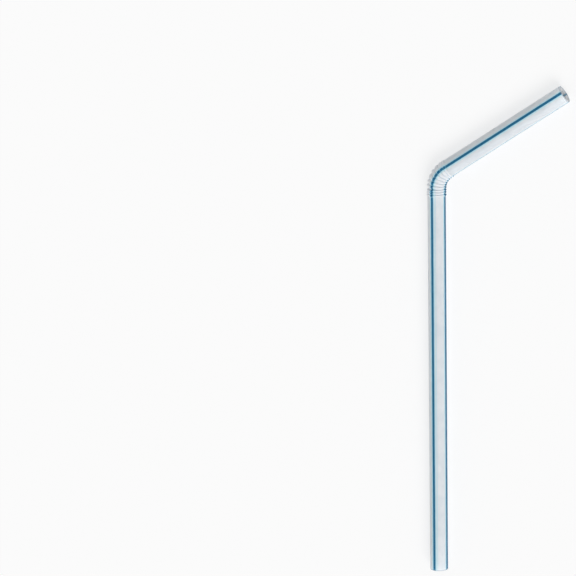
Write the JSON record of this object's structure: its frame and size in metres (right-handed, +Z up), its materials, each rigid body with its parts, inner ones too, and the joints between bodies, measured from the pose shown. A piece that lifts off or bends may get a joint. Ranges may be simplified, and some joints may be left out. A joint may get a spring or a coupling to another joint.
{
  "type": "bendy drinking straw",
  "caption": "Plastic drinking straw: a thin tube with a neck of folds that is bent, lying flat, with coloured stripes along it.",
  "frame": {"origin": "under the middle of the part's box, on the surface that it lies on", "axes": "+Z up; the straw lies with its bend level, the long leg runs along +Y from the foot to the folds, and the arm turns from there towards +X"},
  "size_m": [0.0498, 0.1758, 0.0069],
  "materials": {
    "straw_plastic": "cool white polypropylene that light shines through a little, with a soft gloss and narrow blue stripes along it"
  },
  "bodies": {
    "root": {"straw": "straw_plastic"}
  },
  "joints": []
}
